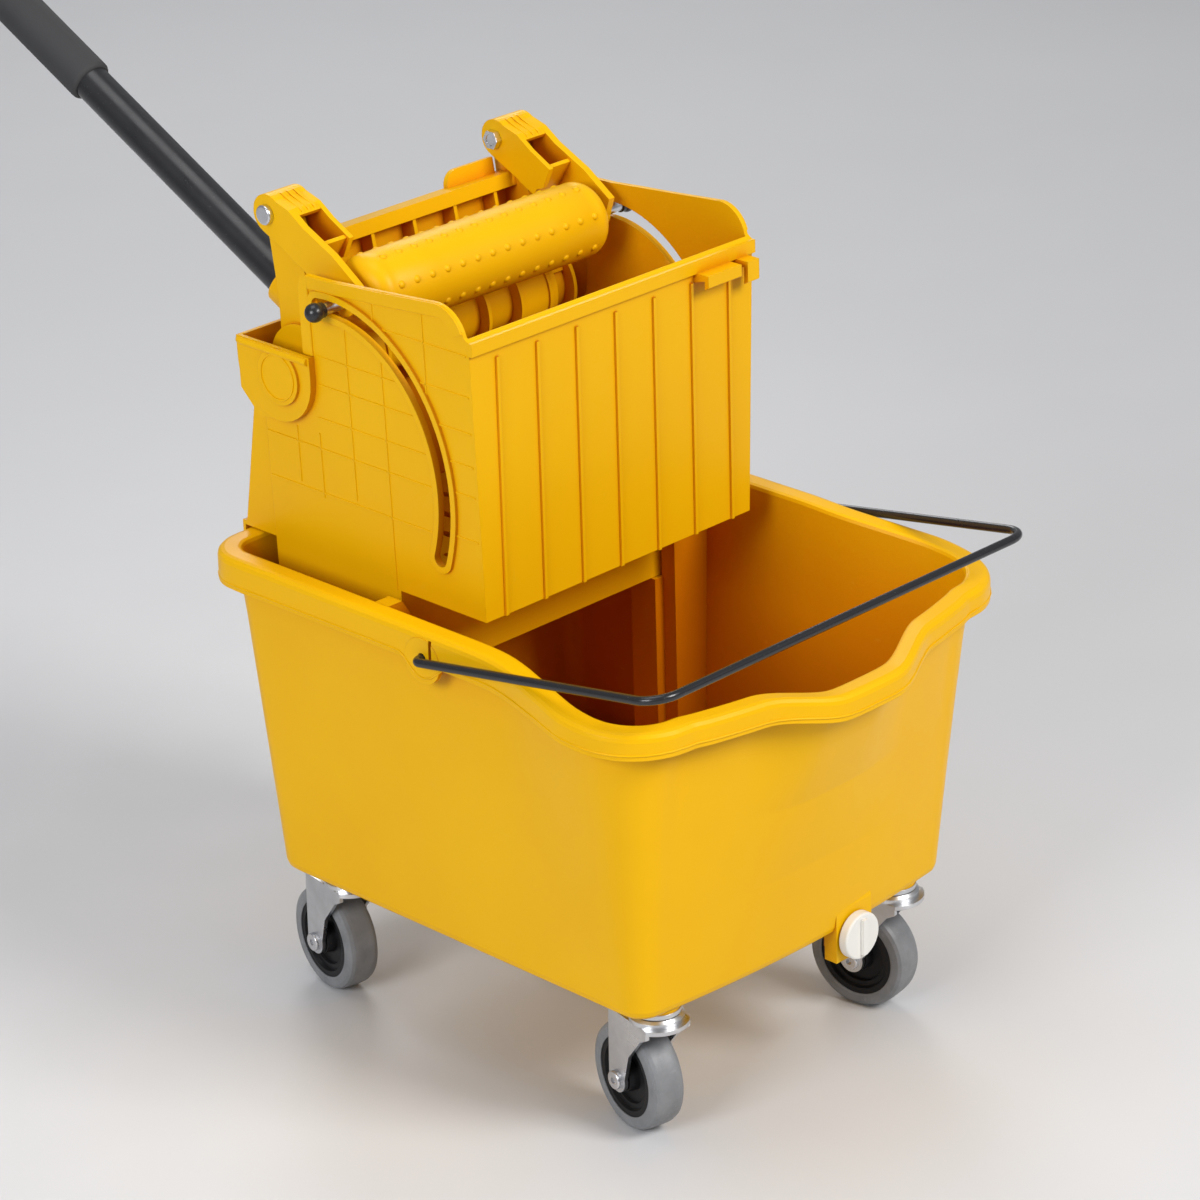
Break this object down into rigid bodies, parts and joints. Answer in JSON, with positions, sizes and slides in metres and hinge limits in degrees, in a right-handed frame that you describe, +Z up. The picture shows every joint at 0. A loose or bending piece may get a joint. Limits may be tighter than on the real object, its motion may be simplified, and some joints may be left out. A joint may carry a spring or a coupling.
{
  "type": "mop bucket with down-press roller wringer",
  "caption": "Yellow plastic mop bucket on swivel casters with a hung down-press wringer worked by a long black lever, a wire carry handle and a front drain cap.",
  "frame": {"origin": "on the floor plane under the wheels, below the centre of the bucket between its two long walls", "axes": "+Z up, +Y along the length towards the wringer's lever, -Y towards the pour spout and drain cap, +X to the bucket's right seen from behind the lever"},
  "size_m": [0.3722, 0.9072, 0.7526],
  "materials": {
    "tub_plastic": "semi-gloss moulded yellow",
    "wringer_plastic": "semi-gloss moulded yellow",
    "roller_plastic": "satin moulded yellow",
    "white_plastic": "satin white",
    "gasket_rubber": "matte",
    "bail_paint": "gloss black",
    "lever_paint": "gloss black",
    "grip_foam": "matte",
    "cap_plastic": "gloss black",
    "zinc_steel": "bright zinc plate",
    "bolt_steel": "bright zinc plate",
    "hub_plastic": "satin black",
    "tyre_rubber": "grey non-marking rubber"
  },
  "bodies": {
    "bucket": {"bucket_tub": "tub_plastic", "drain_gasket": "gasket_rubber", "caster_front_left_stem": "zinc_steel", "caster_back_left_stem": "zinc_steel", "caster_front_right_stem": "zinc_steel", "caster_back_right_stem": "zinc_steel"},
    "drain_cap": {"drain_plug": "white_plastic"},
    "bail": {"bail_wire": "bail_paint"},
    "wringer": {"wringer_shell": "wringer_plastic", "wringer_sieve": "wringer_plastic", "pivot_shaft": "zinc_steel"},
    "lever": {"rocker_frame": "wringer_plastic", "lever_tube": "lever_paint", "lever_grip": "grip_foam", "lever_screw": "bolt_steel", "link_bolts": "bolt_steel", "link_nuts": "bolt_steel"},
    "links": {"link_left": "wringer_plastic", "link_right": "wringer_plastic", "guide_rod": "zinc_steel", "rod_ball_caps": "cap_plastic"},
    "roller": {"press_roller": "roller_plastic"},
    "swivel_front_left": {"caster_front_left_fork": "zinc_steel", "caster_front_left_race": "zinc_steel", "caster_front_left_axle": "bolt_steel"},
    "wheel_front_left": {"caster_front_left_hub": "hub_plastic", "caster_front_left_tyre": "tyre_rubber"},
    "swivel_back_left": {"caster_back_left_fork": "zinc_steel", "caster_back_left_race": "zinc_steel", "caster_back_left_axle": "bolt_steel"},
    "wheel_back_left": {"caster_back_left_hub": "hub_plastic", "caster_back_left_tyre": "tyre_rubber"},
    "swivel_front_right": {"caster_front_right_fork": "zinc_steel", "caster_front_right_race": "zinc_steel", "caster_front_right_axle": "bolt_steel"},
    "wheel_front_right": {"caster_front_right_hub": "hub_plastic", "caster_front_right_tyre": "tyre_rubber"},
    "swivel_back_right": {"caster_back_right_fork": "zinc_steel", "caster_back_right_race": "zinc_steel", "caster_back_right_axle": "bolt_steel"},
    "wheel_back_right": {"caster_back_right_hub": "hub_plastic", "caster_back_right_tyre": "tyre_rubber"}
  },
  "joints": [
    {"name": "drain_cap_draw", "type": "slide", "parent": "bucket", "child": "drain_cap", "axis": [0, -1, 0], "range_m": [0, 0.03]},
    {"name": "bail_lift", "type": "hinge", "parent": "bucket", "child": "bail", "pos_m": [0, -0.004, 0.316], "axis": [-1, 0, 0], "range_deg": [0, 66]},
    {"name": "wringer_lift", "type": "slide", "parent": "bucket", "child": "wringer", "axis": [0, 0, 1], "range_m": [0, 0.2]},
    {"name": "lever_press", "type": "hinge", "parent": "wringer", "child": "lever", "pos_m": [0, 0.16, 0.458], "axis": [1, 0, 0], "range_deg": [0, 110]},
    {"name": "link_swing", "type": "hinge", "parent": "lever", "child": "links", "pos_m": [0, 0.181, 0.5613], "axis": [1, 0, 0], "range_deg": [-80, 0]},
    {"name": "roller_spin", "type": "hinge", "parent": "links", "child": "roller", "pos_m": [0, 0.1105, 0.5166], "axis": [1, 0, 0], "continuous": true},
    {"name": "swivel_front_left_turn", "type": "hinge", "parent": "bucket", "child": "swivel_front_left", "pos_m": [-0.116, -0.153, 0.08], "axis": [0, 0, 1], "continuous": true},
    {"name": "wheel_front_left_spin", "type": "hinge", "parent": "swivel_front_left", "child": "wheel_front_left", "pos_m": [-0.11143, -0.13148, 0.0375], "axis": [0.9781, -0.2079, 0], "continuous": true},
    {"name": "swivel_back_left_turn", "type": "hinge", "parent": "bucket", "child": "swivel_back_left", "pos_m": [-0.116, 0.138, 0.08], "axis": [0, 0, 1], "continuous": true},
    {"name": "wheel_back_left_spin", "type": "hinge", "parent": "swivel_back_left", "child": "wheel_back_left", "pos_m": [-0.11218, 0.15967, 0.0375], "axis": [0.9848, -0.1736, 0], "continuous": true},
    {"name": "swivel_front_right_turn", "type": "hinge", "parent": "bucket", "child": "swivel_front_right", "pos_m": [0.116, -0.153, 0.08], "axis": [0, 0, 1], "continuous": true},
    {"name": "wheel_front_right_spin", "type": "hinge", "parent": "swivel_front_right", "child": "wheel_front_right", "pos_m": [0.11256, -0.13127, 0.0375], "axis": [0.9877, 0.1564, 0], "continuous": true},
    {"name": "swivel_back_right_turn", "type": "hinge", "parent": "bucket", "child": "swivel_back_right", "pos_m": [0.116, 0.138, 0.08], "axis": [0, 0, 1], "continuous": true},
    {"name": "wheel_back_right_spin", "type": "hinge", "parent": "swivel_back_right", "child": "wheel_back_right", "pos_m": [0.11446, 0.15995, 0.0375], "axis": [0.9976, 0.0698, 0], "continuous": true}
  ],
  "couplings": [
    {"joint": "link_swing", "follows": "lever_press", "ratio": -0.72}
  ]
}
